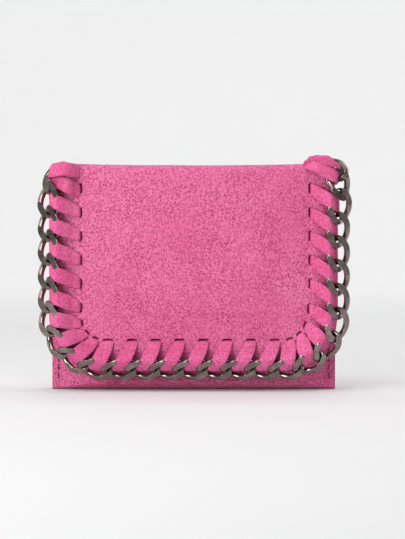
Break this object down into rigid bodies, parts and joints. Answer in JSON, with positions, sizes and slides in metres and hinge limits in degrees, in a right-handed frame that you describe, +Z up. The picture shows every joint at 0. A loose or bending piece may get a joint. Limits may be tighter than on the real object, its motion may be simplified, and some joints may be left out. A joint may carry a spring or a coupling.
{
  "type": "chain-trimmed flap wallet",
  "caption": "Small upright leather flap wallet with a gunmetal curb chain laced round its flap, a snap, a zipped coin pocket and card slots.",
  "frame": {"origin": "middle of the flat base that the closed wallet stands on", "axes": "+X to the viewer's right across the wallet, +Y from its front to its back, +Z up"},
  "size_m": [0.1225, 0.0257, 0.0944],
  "materials": {
    "outer_leather": "pink leather with a fine darker crackle",
    "lace_leather": "pink leather lace",
    "inner_leather": "smooth pink leather",
    "lining_cloth": "dark woven lining",
    "zip_tape": "woven zip tape",
    "zip_metal": "gunmetal",
    "snap_metal": "gunmetal",
    "magnet": "bare magnet",
    "washer_steel": "plated steel",
    "board": "fibre board",
    "thread": "waxed thread",
    "chain_metal": "gunmetal curb chain, ground flat"
  },
  "bodies": {
    "pouch": {"outer_shell": "outer_leather", "shell_lining": "lining_cloth", "front_mouth_facing": "inner_leather", "divider_panel": "inner_leather", "coin_pocket_back": "lining_cloth", "card_pocket_1": "inner_leather", "card_pocket_2": "inner_leather", "card_pocket_3": "inner_leather", "zip_tape_upper": "zip_tape", "zip_tape_lower": "zip_tape", "zip_teeth_upper": "zip_metal", "zip_teeth_lower": "zip_metal", "zip_end_stops": "zip_metal", "snap_socket_cup": "snap_metal", "snap_magnet": "magnet", "snap_socket_washer": "washer_steel", "seam_stitching_left": "thread", "seam_stitching_right": "thread"},
    "spine": {"spine_outer": "outer_leather", "spine_lining": "lining_cloth"},
    "flap": {"flap_outer": "outer_leather", "flap_lining": "lining_cloth", "flap_stiffener": "board", "edge_lace": "lace_leather", "snap_stud": "snap_metal", "snap_stud_washer": "washer_steel", "chain_link_01": "chain_metal", "chain_link_02": "chain_metal", "chain_link_03": "chain_metal", "chain_link_04": "chain_metal", "chain_link_05": "chain_metal", "chain_link_06": "chain_metal", "chain_link_07": "chain_metal", "chain_link_08": "chain_metal", "chain_link_09": "chain_metal", "chain_link_10": "chain_metal", "chain_link_11": "chain_metal", "chain_link_12": "chain_metal", "chain_link_13": "chain_metal", "chain_link_14": "chain_metal", "chain_link_15": "chain_metal", "chain_link_16": "chain_metal", "chain_link_17": "chain_metal", "chain_link_18": "chain_metal", "chain_link_19": "chain_metal", "chain_link_20": "chain_metal", "chain_link_21": "chain_metal", "chain_link_22": "chain_metal", "chain_link_23": "chain_metal", "chain_link_24": "chain_metal", "chain_link_25": "chain_metal", "chain_link_26": "chain_metal", "chain_link_27": "chain_metal", "chain_link_28": "chain_metal"},
    "zip_slider": {"zip_slider": "zip_metal"},
    "zip_pull": {"zip_pull": "zip_metal"}
  },
  "joints": [
    {"name": "spine_fold", "type": "hinge", "parent": "pouch", "child": "spine", "pos_m": [0, 0.0043, 0.0865], "axis": [-1, 0, 0], "range_deg": [0, 90]},
    {"name": "flap_fold", "type": "hinge", "parent": "spine", "child": "flap", "pos_m": [0, -0.0113, 0.0865], "axis": [-1, 0, 0], "range_deg": [0, 90]},
    {"name": "zip_slide", "type": "slide", "parent": "pouch", "child": "zip_slider", "axis": [1, 0, 0], "range_m": [0, 0.0746], "deforming": ["zip_teeth_upper", "zip_teeth_lower"]},
    {"name": "zip_pull_swing", "type": "hinge", "parent": "zip_slider", "child": "zip_pull", "pos_m": [-0.0374, -0.00225, 0.076], "axis": [0, 0, -1], "range_deg": [0, 165]}
  ],
  "couplings": [
    {"joint": "flap_fold", "follows": "spine_fold", "ratio": 1}
  ]
}
